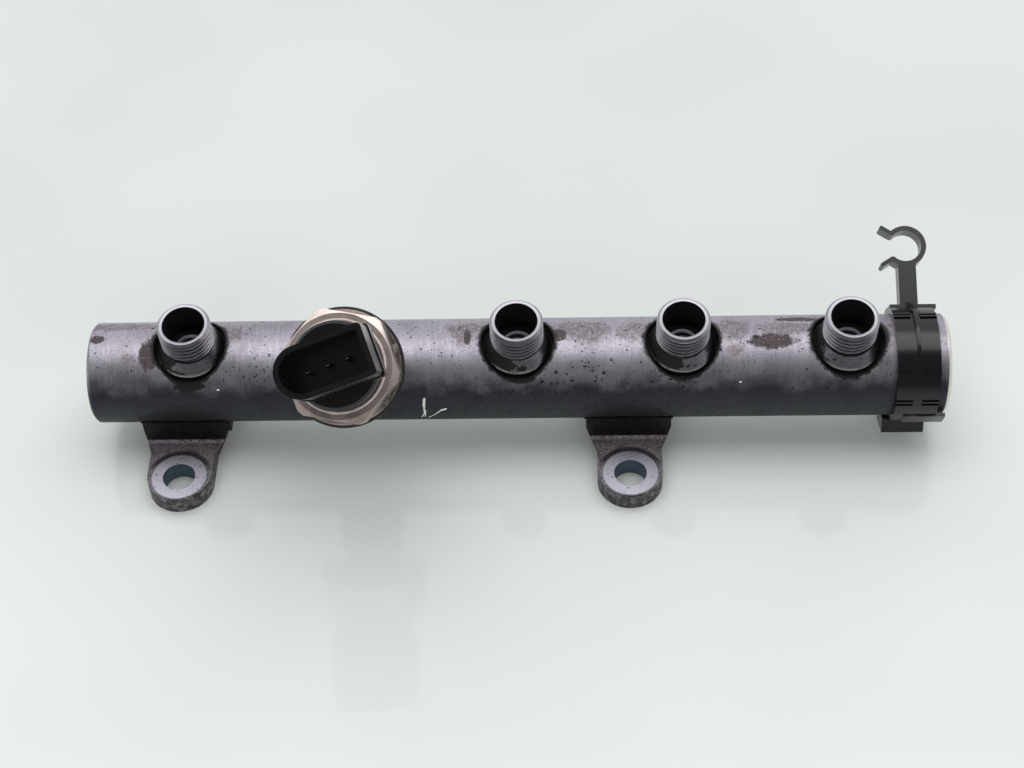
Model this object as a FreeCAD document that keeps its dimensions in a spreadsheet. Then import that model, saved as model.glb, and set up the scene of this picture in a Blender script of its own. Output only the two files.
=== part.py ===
"""High-pressure fuel rail: a thick steel tube with four welded threaded stubs, a pressure
sensor screwed into a welded boss, two brazed mounting lugs, a plugged end and a moulded clip
that holds a small pipe.

Millimetres, +Z up. The origin lies midway between the two bolt holes, on the flat underside
of the lugs. The tube runs along X. The stubs lean towards -Y, the side of the lugs, and the
sensor leans further the same way.
"""
import FreeCAD
import Part
import Sketcher
import math
import os
from FreeCAD import Placement, Rotation, Vector

SIZES = {
    # Rail tube: outside, length, end bevel and the long bore with its closed left end
    "tube_diameter": 27.0,
    "end_bevel": 0.9,
    "rail_bore_diameter": 9.0,
    "closed_end_wall": 12.0,
    "drill_point_angle": 118.0,
    # Where the tube lies over the mounting plane and the bolt holes
    "axis_height": 20.4,
    "axis_setback": 24.2,
    "first_hole_from_end": 22.8,
    "hole_spacing": 120.8,
    # Ports along the tube: the sensor takes the second place
    "first_port_from_end": 27.3,
    "port_pitch": 43.35,
    "last_port_from_end": 26.7,
    "port_lean": 10.0,
    # Welded stubs
    "stub_rise": 9.4,
    "thread_diameter": 14.0,
    "thread_length": 7.7,
    "stub_bore_diameter": 11.1,
    "stub_rim_width": 0.75,
    "stub_rim_bevel": 0.7,
    "undercut_depth": 0.55,
    "undercut_width": 0.7,
    "collar_diameter": 17.8,
    "collar_sink": 2.1,
    "collar_edge": 0.5,
    "foot_diameter": 15.6,
    "groove_clearance": 0.75,
    "groove_depth": 4.2,
    "spigot_wall": 0.4,
    "spigot_gap": 0.1,
    "spigot_sink": 1.1,
    "seat_mouth_diameter": 7.1,
    "seat_angle": 60.0,
    "feed_hole_diameter": 2.6,
    # Boss that carries the pressure sensor
    "sensor_lean": 31.0,
    "boss_diameter": 17.5,
    "boss_rise": 10.9,
    "boss_edge": 0.9,
    "boss_sink": 4.5,
    "boss_gap": 0.1,
    "boss_thread_diameter": 12.0,
    "boss_ledge_thickness": 3.0,
    "boss_hole_diameter": 6.0,
    # Sensor body
    "thread_gap": 0.1,
    "seal_thickness": 1.2,
    "seal_hole_diameter": 4.4,
    "neck_standoff": 0.3,
    "neck_diameter": 13.8,
    "flange_standoff": 4.6,
    "flange_thickness": 3.2,
    "flange_diameter": 30.8,
    "flange_edge": 0.9,
    "hex_across_flats": 27.0,
    "hex_corner_cut": 0.49,
    "hex_length": 9.8,
    "hex_edge": 0.9,
    "hex_turn": -10.2,
    "pressure_channel_diameter": 2.4,
    "cell_floor_rise": 4.0,
    "cell_room_diameter": 17.0,
    "base_room_depth": 5.4,
    "crimp_wall": 0.8,
    "crimp_height": 0.9,
    # Measuring cell, circuit board and its carrier
    "cell_foot_diameter": 8.4,
    "cell_foot_thickness": 0.8,
    "cell_diameter": 5.6,
    "cell_height": 2.6,
    "cell_wall": 0.5,
    "carrier_height": 4.4,
    "carrier_wall": 1.2,
    "carrier_gap": 0.15,
    "board_thickness": 1.0,
    # Connector moulding, its seal and its pins
    "base_diameter": 22.0,
    "base_gap": 0.1,
    "base_board_gap": 0.2,
    "base_rise": 8.0,
    "base_edge": 0.7,
    "ring_section": 1.5,
    "ring_lip": 0.95,
    "ring_squeeze": 0.05,
    "shroud_length": 23.3,
    "shroud_width": 12.9,
    "shroud_offset": -0.6,
    "shroud_rise": 20.0,
    "shroud_wall": 1.35,
    "shroud_floor_rise": 1.2,
    "shroud_foot_wall": 0.35,
    "shroud_foot_rise": 5.0,
    "shroud_corner": 1.0,
    "connector_turn": 19.4,
    "pin_spacing": 5.0,
    "pin_width": 1.5,
    "pin_thickness": 0.7,
    "pin_reach": 7.8,
    "pin_point": 0.25,
    # Mounting lugs
    "lug_thickness": 5.4,
    "lug_end_radius": 8.65,
    "lug_end_setback": 0.8,
    "lug_hole_diameter": 8.6,
    "lug_ring_diameter": 15.4,
    "lug_ring_depth": 0.15,
    "lug_taper_front": 8.0,
    "lug_taper_back": 12.8,
    "foot_taper_front": 11.6,
    "foot_taper_back": 20.2,
    "web_back_reach": 8.8,
    "neck_width_left": 21.4,
    "neck_width_right": 21.0,
    "web_width": 22.8,
    "web_flare_height": 3.8,
    "web_front_reach": 11.7,
    "web_drop": 7.2,
    "web_root_radius": 1.2,
    "web_offset_left": 0.85,
    "web_offset_right": -0.2,
    "foot_width_left": 20.7,
    "foot_width_right": 23.0,
    "saddle_gap": 0.05,
    "wing_width": 1.2,
    "wing_height": 3.8,
    # Plug that closes the right end, and its seal
    "plug_thread_diameter": 12.0,
    "plug_hole_depth": 13.5,
    "plug_gap": 0.1,
    "plug_recess": 0.8,
    "plug_seal_thickness": 1.2,
    "plug_socket_flats": 6.0,
    "plug_socket_depth": 5.0,
    # Pipe clip
    "clip_from_right_end": 8.9,
    "clip_width": 11.2,
    "clip_wall": 1.6,
    "clip_gap": 0.08,
    "clip_lean": -60.7,
    "stem_width": 4.75,
    "stem_depth": 4.5,
    "stem_offset": 0.28,
    "pad_width": 12.2,
    "pad_length": 7.6,
    "pad_height": 0.35,
    "pad_offset": 1.0,
    "hook_distance": 32.25,
    "hook_offset": 0.1,
    "hook_pipe_diameter": 8.5,
    "hook_wall": 1.35,
    "hook_mouth": 5.9,
    "hook_throat": 3.75,
    "lip_length": 3.77,
    "lip_angle": 32.0,
    "lip_thickness": 1.15,
    "lip_rounding": 0.45,
    "rib_thickness": 0.9,
    "rib_rise": 1.4,
    "rib_turn": 10.7,
    "ridge_height": 0.45,
    "ridge_width": 0.55,
    "ridge_length": 4.4,
    "ridge_pitch": 1.26,
    "latch_turn": 175.7,
    "latch_half_width": 2.6,
    "latch_rise": 0.2,
    "latch_length": 10.9,
    "latch_shift": 2.55,
    "catch_turn": 220.7,
    "catch_half_width": 4.0,
    "catch_length": 11.2,
    "catch_shift": -1.25,
    "catch_height": 5.1,
}

PORT_PLACES = (0, 2, 3, 4)
SENSOR_PLACE = 1
LAST_PLACE = 4
HEX_SIDES = 6
RIDGE_TURNS = (46.7, 110.0, 146.0)
BEYOND = 3.0
OVERLAP = 0.5

doc = FreeCAD.newDocument("fuel_rail")
sheet = doc.addObject("Spreadsheet::Sheet", "sizes")
for row, (alias, value) in enumerate(SIZES.items(), start=1):
    sheet.set("A%d" % row, alias.replace("_", " "))
    sheet.set("B%d" % row, str(value))
    sheet.setAlias("B%d" % row, alias)
doc.recompute()


class Size:
    """A size that carries both its number and its formula in the sheet's terms."""

    def __init__(self, value, text):
        self.value = float(value)
        self.text = text

    def __add__(self, other):
        other = as_size(other)
        return Size(self.value + other.value, "(%s + %s)" % (self.text, other.text))

    def __sub__(self, other):
        other = as_size(other)
        return Size(self.value - other.value, "(%s - %s)" % (self.text, other.text))

    def __mul__(self, other):
        other = as_size(other)
        return Size(self.value * other.value, "(%s * %s)" % (self.text, other.text))

    def __truediv__(self, other):
        other = as_size(other)
        return Size(self.value / other.value, "(%s / %s)" % (self.text, other.text))

    def __neg__(self):
        return Size(-self.value, "(0 - %s)" % self.text)


def as_size(number):
    """Give a plain number the same form as a size from the sheet."""
    if isinstance(number, Size):
        return number
    return Size(number, "%.6g" % number if number else "0")


def size(alias):
    """Fetch a size of the sheet by its name."""
    return Size(SIZES[alias], "sizes." + alias)


def half(alias):
    """Half of a named size, such as the radius that belongs to a diameter."""
    return size(alias) / 2


def sine(angle):
    """Sine of an angle in degrees."""
    return Size(math.sin(math.radians(angle.value)), "sin(%s)" % angle.text)


def cosine(angle):
    """Cosine of an angle in degrees."""
    return Size(math.cos(math.radians(angle.value)), "cos(%s)" % angle.text)


def bind(thing, path, amount):
    """Tie one property of an object to a size."""
    thing.setExpression(path, as_size(amount).text)


def new_body(label, place, lean=0.0):
    """Start a body at a place, leaning about X from +Z towards -Y."""
    body = doc.addObject("PartDesign::Body", label)
    body.Label = label
    place = [as_size(amount) for amount in place]
    lean = as_size(lean)
    corner = Vector(*[amount.value for amount in place])
    body.Placement = Placement(corner, Rotation(Vector(1, 0, 0), lean.value))
    for axis, amount in zip("xyz", place):
        bind(body, "Placement.Base." + axis, amount)
    if lean.text != "0":
        bind(body, "Placement.Rotation.Angle", lean)
    return body


def new_sketch(body, role, shift=(0, 0, 0), turn=0.0, turn_axis=(0, 0, 1)):
    """Attach an empty sketch to one of the body's own origin planes."""
    plane = [item for item in body.Origin.OriginFeatures if item.Role == role][0]
    sketch = body.newObject("Sketcher::SketchObject", body.Label + "_outline")
    sketch.AttachmentSupport = [(plane, "")]
    sketch.MapMode = "FlatFace"
    shift = [as_size(amount) for amount in shift]
    turn = as_size(turn)
    offset = Vector(*[amount.value for amount in shift])
    sketch.AttachmentOffset = Placement(offset, Rotation(Vector(*turn_axis), turn.value))
    for axis, amount in zip("xyz", shift):
        bind(sketch, "AttachmentOffset.Base." + axis, amount)
    if turn.text != "0":
        bind(sketch, "AttachmentOffset.Rotation.Angle", turn)
    return sketch


def hold_point(sketch, element, end, x, y):
    """Fix a point of a sketch at its two distances from the sketch's origin."""
    for direction, axis, amount in (("DistanceX", -2, x), ("DistanceY", -1, y)):
        amount = as_size(amount)
        if amount.text == "0":
            sketch.addConstraint(Sketcher.Constraint("PointOnObject", element, end, axis))
        else:
            rule = Sketcher.Constraint(direction, -1, 1, element, end, amount.value)
            bind(sketch, "Constraints[%d]" % sketch.addConstraint(rule), amount)


def polygon(sketch, points):
    """Draw a closed outline of straight lines through the given points."""
    corners = [(as_size(x), as_size(y)) for x, y in points]
    first = sketch.GeometryCount
    count = len(corners)
    for index, (x, y) in enumerate(corners):
        next_x, next_y = corners[(index + 1) % count]
        start = Vector(x.value, y.value, 0)
        finish = Vector(next_x.value, next_y.value, 0)
        sketch.addGeometry(Part.LineSegment(start, finish))
    for index in range(count):
        after = first + (index + 1) % count
        sketch.addConstraint(Sketcher.Constraint("Coincident", first + index, 2, after, 1))
    for index, (x, y) in enumerate(corners):
        hold_point(sketch, first + index, 1, x, y)
    return sketch


def rectangle(sketch, x_low, x_high, y_low, y_high):
    """Draw a rectangle between two corners."""
    points = [(x_low, y_low), (x_high, y_low), (x_high, y_high), (x_low, y_high)]
    return polygon(sketch, points)


def corner_reach(flats):
    """Distance from the middle of a hexagon to its corners."""
    return flats / (cosine(as_size(180 / HEX_SIDES)) * 2)


def hexagon(sketch, flats):
    """Draw a hexagon of a given width across its flats, one corner on the sketch's X axis."""
    reach = corner_reach(flats)
    angles = [as_size(360 / HEX_SIDES * step) for step in range(HEX_SIDES)]
    return polygon(sketch, [(reach * cosine(angle), reach * sine(angle)) for angle in angles])


def circle(sketch, x, y, radius):
    """Draw a circle."""
    x, y, radius = as_size(x), as_size(y), as_size(radius)
    shape = Part.Circle(Vector(x.value, y.value, 0), Vector(0, 0, 1), radius.value)
    index = sketch.addGeometry(shape)
    hold_point(sketch, index, 3, x, y)
    rule = Sketcher.Constraint("Radius", index, radius.value)
    bind(sketch, "Constraints[%d]" % sketch.addConstraint(rule), radius)
    return sketch


def finish_feature(body, feature, adds):
    """Compute a feature and make sure that it added or removed material."""
    before = body.Tip.Shape.Volume if body.Tip and body.Tip is not feature else 0.0
    body.Tip = feature
    doc.recompute()
    change = feature.Shape.Volume - before
    if feature.Shape.isNull() or (change < 0.001 if adds else change > -0.001):
        raise RuntimeError("%s of %s changed nothing" % (feature.Name, body.Label))
    return feature


def profile_feature(kind, body, sketch):
    """Make a feature of a given kind from a sketch, with the sketch as its profile."""
    before = body.Tip
    feature = body.newObject("PartDesign::" + kind, body.Label + "_" + kind.lower())
    feature.Profile = sketch
    sketch.Visibility = False
    body.Tip = before
    return feature


def pad(body, sketch, length):
    """Raise a profile along its sketch's normal."""
    feature = profile_feature("Pad", body, sketch)
    bind(feature, "Length", length)
    return finish_feature(body, feature, True)


def pocket(body, sketch, depth):
    """Cut a profile away, from its sketch up along the sketch's normal."""
    feature = profile_feature("Pocket", body, sketch)
    feature.Reversed = True
    bind(feature, "Length", depth)
    return finish_feature(body, feature, False)


def turned(body, sketch, axis="V_Axis"):
    """Turn a profile about one of its sketch's axes into a solid."""
    feature = profile_feature("Revolution", body, sketch)
    feature.ReferenceAxis = (sketch, [axis])
    feature.Angle = 360.0
    return finish_feature(body, feature, True)


def turned_cut(body, sketch, axis="V_Axis"):
    """Turn a profile about one of its sketch's axes and cut it away."""
    feature = profile_feature("Groove", body, sketch)
    feature.ReferenceAxis = (sketch, [axis])
    feature.Angle = 360.0
    return finish_feature(body, feature, False)


def lies_at(x, y, z):
    """A test for edges whose ends all lie at the given distances; None stands for any."""
    def wanted(edge):
        for vertex in edge.Vertexes:
            for amount, place in ((x, vertex.X), (y, vertex.Y), (z, vertex.Z)):
                if amount is not None and abs(place - amount) > 1e-6:
                    return False
        return True
    return wanted


def round_edges(body, radius, wanted):
    """Round the edges of a body that a test picks out."""
    base = body.Tip
    names = []
    for index, edge in enumerate(base.Shape.Edges, start=1):
        if wanted(edge):
            names.append("Edge%d" % index)
    if not names:
        raise RuntimeError("no edges to round on " + body.Label)
    feature = body.newObject("PartDesign::Fillet", body.Label + "_fillet")
    feature.Base = (base, names)
    bind(feature, "Radius", radius)
    body.Tip = feature
    doc.recompute()
    return feature


def port_x(place):
    """Distance of a port from the left end of the tube."""
    return size("first_port_from_end") + size("port_pitch") * place


# Places that several pieces share
tube_radius = half("tube_diameter")
tube_length = port_x(LAST_PLACE) + size("last_port_from_end")
tube_left = -(size("first_hole_from_end") + half("hole_spacing"))
tube_right = tube_left + tube_length
axis_place = (size("axis_setback"), size("axis_height"))
thread_radius = half("thread_diameter")
sensor_tilt = size("port_lean") + size("sensor_lean")
# Heights over the tube's axis, along a stub
groove_floor = tube_radius - size("groove_depth")
spigot_top = tube_radius - size("spigot_sink")
collar_top = tube_radius - size("collar_sink")
stub_top = tube_radius + size("stub_rise")
# Heights over the tube's axis, along the sensor, each on the one below
boss_floor = tube_radius - size("boss_sink")
boss_ledge = boss_floor + size("boss_ledge_thickness")
boss_top = tube_radius + size("boss_rise")
seal_top = boss_ledge + size("seal_thickness")
flange_low = boss_top + size("flange_standoff")
flange_top = flange_low + size("flange_thickness")
hex_top = flange_top + size("hex_length")
cell_floor = flange_low + size("cell_floor_rise")
base_room = hex_top - size("base_room_depth")
board_low = cell_floor + size("carrier_height")
board_top = board_low + size("board_thickness")
base_low = board_top + size("base_board_gap")
ring_low = base_low + size("ring_lip")
ring_high = ring_low + size("ring_section")
base_top = hex_top + size("base_rise")
shroud_floor = base_top + size("shroud_floor_rise")
shroud_foot = base_top + size("shroud_foot_rise")
shroud_top = base_top + size("shroud_rise")
pin_top = shroud_floor + size("pin_reach")


# Rail tube, turned about its own axis, then cut at the ports
def make_rail_tube():
    body = new_body("rail_tube", (tube_left,) + axis_place, size("port_lean"))
    bevel = size("end_bevel")
    length = tube_length
    bore = half("rail_bore_diameter")
    plug_bore = half("plug_thread_diameter") + size("plug_gap")
    plug_floor = length - size("plug_hole_depth")
    drill_point = bore * cosine(half("drill_point_angle")) / sine(half("drill_point_angle"))
    section = polygon(new_sketch(body, "XZ_Plane"), [
        (0, 0),
        (0, tube_radius - bevel),
        (bevel, tube_radius),
        (length - bevel, tube_radius),
        (length, tube_radius - bevel),
        (length, plug_bore),
        (plug_floor, plug_bore),
        (plug_floor, bore),
        (size("closed_end_wall") + drill_point, bore),
        (size("closed_end_wall"), 0),
    ])
    turned(body, section, "H_Axis")
    stub_bore = half("stub_bore_diameter")
    spigot = stub_bore + size("spigot_wall")
    groove = half("collar_diameter") + size("groove_clearance")
    feed = half("feed_hole_diameter")
    mouth = half("seat_mouth_diameter")
    seat_slope = sine(half("seat_angle")) / cosine(half("seat_angle"))
    seat_floor = spigot_top - (mouth - feed) / seat_slope
    above = tube_radius + BEYOND
    for place in PORT_PLACES:
        sketch = new_sketch(body, "XZ_Plane", (port_x(place), 0, 0))
        turned_cut(body, polygon(sketch, [
            (0, 0),
            (feed, 0),
            (feed, seat_floor),
            (mouth, spigot_top),
            (spigot, spigot_top),
            (spigot, groove_floor),
            (groove, groove_floor),
            (groove, above),
            (0, above),
        ]))
    sketch = new_sketch(body, "XZ_Plane", (port_x(SENSOR_PLACE), 0, 0),
                        size("sensor_lean"), (1, 0, 0))
    socket = half("boss_diameter") + size("boss_gap")
    turned_cut(body, polygon(sketch, [
        (0, 0),
        (feed, 0),
        (feed, boss_floor),
        (socket, boss_floor),
        (socket, above),
        (0, above),
    ]))
    return body


# Threaded stub: foot over the tube's spigot, conical shoulder, undercut, thread, bevelled rim
def make_port_stub(number, place):
    foot = (tube_left + port_x(place),) + axis_place
    body = new_body("port_stub_%d" % number, foot, size("port_lean"))
    bore = half("stub_bore_diameter")
    undercut = thread_radius - size("undercut_depth")
    thread_low = stub_top - size("thread_length")
    rim = bore + size("stub_rim_width")
    foot_bore = bore + size("spigot_wall") + size("spigot_gap")
    shoulder = spigot_top + size("spigot_gap")
    turned(body, polygon(new_sketch(body, "XZ_Plane"), [
        (bore, shoulder),
        (foot_bore, shoulder),
        (foot_bore, groove_floor),
        (half("foot_diameter"), groove_floor),
        (half("foot_diameter"), collar_top - size("collar_edge")),
        (half("collar_diameter"), collar_top - size("collar_edge")),
        (half("collar_diameter"), collar_top),
        (undercut, thread_low - size("undercut_width")),
        (undercut, thread_low),
        (thread_radius, thread_low),
        (thread_radius, stub_top - size("stub_rim_bevel")),
        (rim, stub_top),
        (bore, stub_top),
    ]))
    return body


def sensor_body_frame(label):
    """A body whose Z axis is the sensor's own axis, with its origin on the tube's axis."""
    foot = (tube_left + port_x(SENSOR_PLACE),) + axis_place
    return new_body(label, foot, sensor_tilt)


# Boss welded to the tube, with the female thread and the ledge that carries the seal
def make_sensor_boss():
    body = sensor_body_frame("sensor_boss")
    outer = half("boss_diameter")
    edge = size("boss_edge")
    thread = half("boss_thread_diameter")
    turned(body, polygon(new_sketch(body, "XZ_Plane"), [
        (half("boss_hole_diameter"), boss_floor),
        (outer, boss_floor),
        (outer, boss_top - edge),
        (outer - edge, boss_top),
        (thread, boss_top),
        (thread, boss_ledge),
        (half("boss_hole_diameter"), boss_ledge),
    ]))
    return body


spigot_radius = half("boss_thread_diameter") - size("thread_gap")


# Soft iron ring between the ledge of the boss and the sensor's spigot
def make_sensor_seal_ring():
    body = sensor_body_frame("sensor_seal_ring")
    sketch = new_sketch(body, "XZ_Plane")
    inner = half("seal_hole_diameter")
    turned(body, rectangle(sketch, inner, spigot_radius, boss_ledge, seal_top))
    return body


base_radius = half("base_diameter")
room_radius = base_radius + size("base_gap")


# Steel sensor body: spigot, neck, round flange, hexagon and the crimped collar above it
def make_sensor_body():
    body = sensor_body_frame("sensor_body")
    flange = half("flange_diameter")
    edge = size("flange_edge")
    neck_low = boss_top + size("neck_standoff")
    channel = half("pressure_channel_diameter")
    collar = room_radius + size("crimp_wall")
    turned(body, polygon(new_sketch(body, "XZ_Plane"), [
        (channel, seal_top),
        (spigot_radius, seal_top),
        (spigot_radius, neck_low),
        (half("neck_diameter"), neck_low),
        (half("neck_diameter"), flange_low),
        (flange - edge, flange_low),
        (flange, flange_low + edge),
        (flange, flange_top - edge),
        (flange - edge, flange_top),
        (collar, flange_top),
        (collar, hex_top + size("crimp_height") / 2),
        (collar - size("crimp_wall") / 2, hex_top + size("crimp_height")),
        (room_radius, hex_top + size("crimp_height")),
        (room_radius, base_room),
        (half("cell_room_diameter"), base_room),
        (half("cell_room_diameter"), cell_floor),
        (channel, cell_floor),
    ]))
    sketch = new_sketch(body, "XY_Plane", (0, 0, flange_top), size("hex_turn"))
    hexagon(sketch, size("hex_across_flats"))
    circle(sketch, 0, 0, room_radius + size("crimp_wall") / 2)
    pad(body, sketch, hex_top - flange_top)
    corner = corner_reach(size("hex_across_flats"))
    turned_corner = corner - size("hex_corner_cut")
    bevel = size("hex_edge")
    outside = corner + BEYOND
    turned_cut(body, polygon(new_sketch(body, "XZ_Plane"), [
        (turned_corner, flange_top),
        (turned_corner, hex_top - bevel),
        (turned_corner - bevel * 2, hex_top),
        (outside, hex_top),
        (outside, flange_top),
    ]))
    return body


# Thimble with the thin diaphragm that the fuel pressure bends
def make_measuring_cell():
    body = sensor_body_frame("sensor_measuring_cell")
    foot_top = cell_floor + size("cell_foot_thickness")
    top = foot_top + size("cell_height")
    wall = size("cell_wall")
    inner = half("cell_diameter") - wall * 2
    turned(body, polygon(new_sketch(body, "XZ_Plane"), [
        (0, top - wall),
        (inner, top - wall),
        (inner, cell_floor),
        (half("cell_foot_diameter"), cell_floor),
        (half("cell_foot_diameter"), foot_top),
        (half("cell_diameter"), foot_top),
        (half("cell_diameter"), top),
        (0, top),
    ]))
    return body


board_radius = half("cell_room_diameter") - size("carrier_gap")


# Ring that stands on the floor of the room and carries the board
def make_board_carrier():
    body = sensor_body_frame("sensor_board_carrier")
    sketch = new_sketch(body, "XZ_Plane")
    inner = board_radius - size("carrier_wall")
    turned(body, rectangle(sketch, inner, board_radius, cell_floor, board_low))
    return body


# Round circuit board on its carrier
def make_circuit_board():
    body = sensor_body_frame("sensor_circuit_board")
    sketch = circle(new_sketch(body, "XY_Plane", (0, 0, board_low)), 0, 0, board_radius)
    pad(body, sketch, size("board_thickness"))
    return body


ring_outer = room_radius - size("ring_squeeze")
ring_inner = ring_outer - size("ring_section")
ring_floor = ring_inner - size("ring_squeeze")


# Rubber ring of square section that keeps water out between the moulding and the steel
def make_rubber_ring():
    body = sensor_body_frame("sensor_rubber_ring")
    turned(body, rectangle(new_sketch(body, "XZ_Plane"), ring_inner, ring_outer,
                           ring_low, ring_high))
    return body


def shroud_outline(sketch, grow):
    """Draw the straight part of the shroud's D, moved outwards by an amount."""
    reach = half("shroud_length")
    wide = half("shroud_width")
    low = size("shroud_offset") - reach + wide
    high = size("shroud_offset") + reach
    return rectangle(sketch, low, high + grow, -(wide + grow), wide + grow)


def shroud_end(sketch, grow):
    """Draw the round end of the shroud's D, moved outwards by an amount."""
    wide = half("shroud_width")
    centre = size("shroud_offset") - half("shroud_length") + wide
    return circle(sketch, centre, 0, wide + grow)


def is_shroud_corner(edge):
    """Tell whether an edge is one of the shroud's long edges at the square end of its D."""
    if len(edge.Vertexes) != 2:
        return False
    low, high = sorted(edge.Vertexes, key=lambda vertex: vertex.Z)
    reach = math.hypot(low.X, low.Y)
    upright = math.hypot(low.X - high.X, low.Y - high.Y) < 1e-6 and high.Z - low.Z > 1
    corner = size("shroud_offset") + half("shroud_length")
    return upright and reach > math.hypot(corner.value, SIZES["shroud_width"] / 2) - 1e-6


# Connector moulding: round base with the ring's groove, and the D-shaped open shroud
def make_connector():
    body = sensor_body_frame("sensor_connector")
    groove_low = ring_low - size("ring_squeeze")
    groove_high = ring_high + size("ring_squeeze")
    edge = size("base_edge")
    turned(body, polygon(new_sketch(body, "XZ_Plane"), [
        (0, base_low),
        (base_radius - edge, base_low),
        (base_radius, base_low + edge / 2),
        (base_radius, groove_low),
        (ring_floor, groove_low),
        (ring_floor, groove_high),
        (base_radius, groove_high),
        (base_radius, base_top - edge),
        (base_radius - edge, base_top),
        (0, base_top),
    ]))
    turn = size("connector_turn")
    stages = ((base_top - edge, shroud_foot, size("shroud_foot_wall")),
              (shroud_foot, shroud_top, as_size(0)))
    for outline in (shroud_outline, shroud_end):
        for bottom, top, grow in stages:
            sketch = new_sketch(body, "XY_Plane", (0, 0, bottom), turn)
            pad(body, outline(sketch, grow), top - bottom)
    round_edges(body, size("shroud_corner"), is_shroud_corner)
    for outline in (shroud_outline, shroud_end):
        sketch = new_sketch(body, "XY_Plane", (0, 0, shroud_floor), turn)
        depth = shroud_top - shroud_floor + BEYOND
        pocket(body, outline(sketch, -size("shroud_wall")), depth)
    for number in (-1, 0, 1):
        sketch = new_sketch(body, "XY_Plane", (0, 0, base_low - BEYOND), turn)
        height = shroud_floor - base_low + BEYOND * 2
        pocket(body, pin_outline(sketch, number), height)
    return body


def pin_outline(sketch, number):
    """Draw the section of one of the three pins, in line along the shroud."""
    centre = size("shroud_offset") + size("pin_spacing") * number
    wide = half("pin_width")
    thick = half("pin_thickness")
    return rectangle(sketch, centre - wide, centre + wide, -thick, thick)


# Flat pin from the board through the moulding into the shroud, with a pointed tip
def make_pin(number):
    body = sensor_body_frame("sensor_pin_%d" % (number + 2))
    sketch = new_sketch(body, "XY_Plane", (0, 0, board_top), size("connector_turn"))
    pad(body, pin_outline(sketch, number), pin_top - board_top)
    base = body.Tip
    crown = pin_top.value
    names = []
    for index, edge in enumerate(base.Shape.Edges, start=1):
        if all(abs(vertex.Z - crown) < 1e-6 for vertex in edge.Vertexes):
            names.append("Edge%d" % index)
    feature = body.newObject("PartDesign::Chamfer", body.Label + "_tip")
    feature.Base = (base, names)
    bind(feature, "Size", size("pin_point"))
    body.Tip = feature
    doc.recompute()
    return body


web_front = axis_place[0] - size("web_front_reach")
web_back = axis_place[0] + size("web_back_reach")
web_top = axis_place[1] - size("web_drop")


def lug_plan(sketch, left, right, taper_front, taper_back):
    """Draw a lug's outline: a straight-sided tongue that flares out to the web's width."""
    end = size("lug_end_radius")
    return polygon(sketch, [
        (-end, size("lug_end_setback")),
        (end, size("lug_end_setback")),
        (end, taper_front),
        (right, taper_back),
        (right, web_back),
        (left, web_back),
        (left, taper_back),
        (-end, taper_front),
    ])


# Forged lug: flat foot with the bolt hole and a web that cradles the tube from below
def make_lug(label, side, web_offset, foot_width, neck_width, wing):
    body = new_body(label, (half("hole_spacing") * side, 0, 0))
    thick = size("lug_thickness")
    full = thick + size("web_flare_height")
    left = web_offset - half("web_width")
    right = web_offset + half("web_width")
    neck_left = (web_offset - neck_width) / 2
    neck_right = (web_offset + neck_width) / 2
    tapers = (size("lug_taper_front"), size("lug_taper_back"))
    bottom = lug_plan(new_sketch(body, "XY_Plane"), -foot_width / 2, foot_width / 2,
                      size("foot_taper_front"), size("foot_taper_back"))
    neck = lug_plan(new_sketch(body, "XY_Plane", (0, 0, thick)), neck_left, neck_right, *tapers)
    shoulder = lug_plan(new_sketch(body, "XY_Plane", (0, 0, full)), left, right, *tapers)
    loft = profile_feature("AdditiveLoft", body, bottom)
    loft.Sections = [neck, shoulder]
    loft.Ruled = True
    neck.Visibility = False
    shoulder.Visibility = False
    finish_feature(body, loft, True)
    web = lug_plan(new_sketch(body, "XY_Plane", (0, 0, full)), left, right, *tapers)
    pad(body, web, web_top - full)
    pocket(body, rectangle(new_sketch(body, "XY_Plane", (0, 0, thick)), left - BEYOND,
                           right + BEYOND, -BEYOND, web_front), web_top)
    end = circle(new_sketch(body, "XY_Plane"), 0, size("lug_end_setback"), size("lug_end_radius"))
    pad(body, end, thick)
    if wing:
        sketch = new_sketch(body, "YZ_Plane", (0, 0, right - OVERLAP))
        pad(body, rectangle(sketch, web_front, web_back, web_top - size("wing_height"), web_top),
            size("wing_width") + OVERLAP)
    cradle = new_sketch(body, "YZ_Plane", (0, 0, left - BEYOND))
    circle(cradle, axis_place[0], axis_place[1], tube_radius + size("saddle_gap"))
    pocket(body, cradle, size("web_width") + BEYOND * 3)
    hole = circle(new_sketch(body, "XY_Plane", (0, 0, -BEYOND)), 0, 0, half("lug_hole_diameter"))
    pocket(body, hole, thick + BEYOND * 2)
    ring_low = thick - size("lug_ring_depth")
    ring = circle(new_sketch(body, "XY_Plane", (0, 0, ring_low)), 0, 0,
                  half("lug_ring_diameter"))
    pocket(body, ring, size("lug_ring_depth") + OVERLAP)
    round_edges(body, size("web_root_radius"), lies_at(None, web_front.value, thick.value))
    return body


# Screw plug with a hexagon socket, sunk in the right end of the tube
def make_end_plug():
    inner_end = tube_right - size("plug_hole_depth") + size("plug_seal_thickness")
    body = new_body("end_plug", (inner_end,) + axis_place)
    radius = half("plug_thread_diameter")
    length = size("plug_hole_depth") - size("plug_seal_thickness") - size("plug_recess")
    pad(body, circle(new_sketch(body, "YZ_Plane"), 0, 0, radius), length)
    socket_floor = length - size("plug_socket_depth")
    sketch = new_sketch(body, "YZ_Plane", (0, 0, socket_floor))
    socket = hexagon(sketch, size("plug_socket_flats"))
    pocket(body, socket, size("plug_socket_depth") + BEYOND)
    return body


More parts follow.
